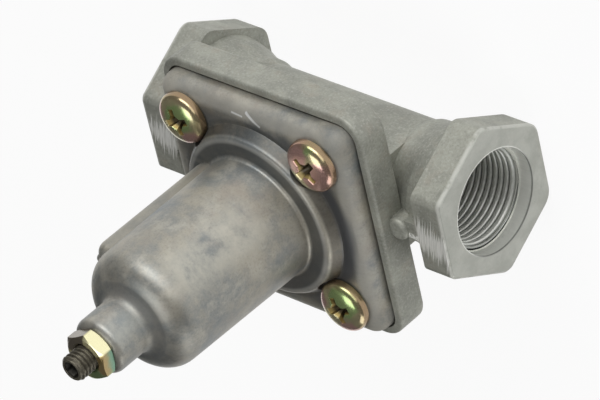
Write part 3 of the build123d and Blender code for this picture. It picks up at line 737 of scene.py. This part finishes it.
# Each spring keeps its form and is cut into stretches between two planes square to its axis; each stretch
# lists the body at its start and the body at its end
springStretches = dict(
    settingSpringLower=dict(node="setting_spring", share=(0.0, 0.5), bodies=("pressure_plate", "housing"),
                            axis=2, held=0.08),
    settingSpringUpper=dict(node="setting_spring", share=(0.5, 1.0), bodies=("housing", "spring_seat"),
                            axis=2, held=0.08),
    checkSpring=dict(node="check_valve_spring", share=(0.0, 1.0), bodies=("housing", "check_valve"),
                     axis=0, held=0.12),
)


def cutSprings():
    for name, look in springStretches.items():
        low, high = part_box(look["node"])
        along = look["axis"]
        length = high[along] - low[along]
        square = Vector((0, 0, 0))
        square[along] = 1
        bm = bmesh.new()
        bm.from_mesh(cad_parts[look["node"]].data)
        bmesh.ops.remove_doubles(bm, verts=bm.verts, dist=0.0000005)
        ends = [Vector(low), Vector(low)]
        for end, share, beyond in zip(ends, look["share"], (False, True)):
            end[along] = low[along] + share * length
            if 0 < share < 1:
                trimShell(bm, end, square, beyond)
        piece = newPiece(name, bm, "springWireFinish", None)
        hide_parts(look["node"])
        # the held turn is taken off the end on the moving body, though nothing reads these ends afterwards
        held = look["held"] * length
        if look["bodies"][0] == "housing":
            ends[1][along] -= held
        else:
            ends[0][along] += held
        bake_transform(piece)


cutSprings()
print("springs cut")


# Pale floor, white to the camera and in reflections, that still takes the shadow
floorLook = dict(half=20.0, colour=(0.9, 0.9, 0.9), seenWhite=0.92, mirroredWhite=1.0)


def layFloor():
    bm = bmesh.new()
    bmesh.ops.create_grid(bm, x_segments=1, y_segments=1, size=floorLook["half"])
    floor = meshObject("floor", bm)
    material, make = newFinish("floorFinish")
    camera, glossy, through = [make.node("ShaderNodeLightPath", output=name) for name in
                               ("Is Camera Ray", "Is Glossy Ray", "Is Transmission Ray")]
    mirrored = glossy.maths("MAXIMUM", through) * floorLook["mirroredWhite"]
    seen = (camera * floorLook["seenWhite"]).maths("MAXIMUM", mirrored)
    matt = make.node("ShaderNodeBsdfDiffuse", None, {"Color": floorLook["colour"]})
    white = make.node("ShaderNodeEmission", None, {"Color": (1, 1, 1), "Strength": 1.0})
    both = make.node("ShaderNodeMixShader", None, {0: seen, 1: matt, 2: white})
    make.node("ShaderNodeOutputMaterial", None, {"Surface": both})
    floor.data.materials.append(material)


# Large soft lamps, given by where they stand, where they aim, their size and their power
lampLooks = {
    "keyLamp": dict(place=(0.1, 1.3, 0.45), aim=(0, 0, 0.04), size=1.1, height=0.6, power=12.0),
    "frontLamp": dict(place=(0.95, 0.95, 0.45), aim=(0, 0, 0.04), size=0.8, height=0.8, power=4.0),
    "overheadLamp": dict(place=(0.0, 0.0, 1.5), aim=(0, 0, 0.04), size=0.8, height=0.8, power=5.5),
    "farLamp": dict(place=(0.7, -1.1, 0.45), aim=(0, 0, 0.04), size=0.8, height=0.8, power=4.5),
}


def hangLamps():
    for name, look in lampLooks.items():
        lamp = bpy.data.lights.new(name, "AREA")
        lamp.shape = "RECTANGLE"
        lamp.size = look["size"]
        lamp.size_y = look["height"]
        lamp.energy = look["power"]
        holder = bpy.data.objects.new(name, lamp)
        holder.location = look["place"]
        direction = Vector(look["aim"]) - Vector(look["place"])
        holder.rotation_euler = direction.to_track_quat("-Z", "Y").to_euler()
        bpy.context.scene.collection.objects.link(holder)


worldLook = dict(colour=(1.0, 0.99, 0.96), strength=0.1)


def lightWorld():
    world = bpy.data.worlds.new("studio")
    world.use_nodes = True
    bpy.context.scene.world = world
    make = Maker(world.node_tree)
    sky = make.node("ShaderNodeBackground", None,
                    {"Color": worldLook["colour"], "Strength": worldLook["strength"]})
    make.node("ShaderNodeOutputWorld", None, {"Surface": sky})


# The photograph's view: a long lens well above the bench, rolled with the valve's axis across the frame
viewLook = dict(place=(0.645828, 0.599521, 0.578221), turn=(-45.8836, 40.8863, -14.5344),
                lens=300.0, sensor=36.0, clip=(0.01, 80.0))


def setCamera():
    camera = bpy.data.cameras.new("camera")
    camera.lens = viewLook["lens"]
    camera.sensor_width = viewLook["sensor"]
    camera.sensor_fit = "HORIZONTAL"
    camera.clip_start, camera.clip_end = viewLook["clip"]
    holder = bpy.data.objects.new("camera", camera)
    holder.location = viewLook["place"]
    holder.rotation_euler = [math.radians(angle) for angle in viewLook["turn"]]
    bpy.context.scene.collection.objects.link(holder)
    bpy.context.scene.camera = holder


layFloor()
hangLamps()
lightWorld()
setCamera()
bpy.context.scene.view_settings.view_transform = "Standard"
print("floor, lamps, world and camera set")
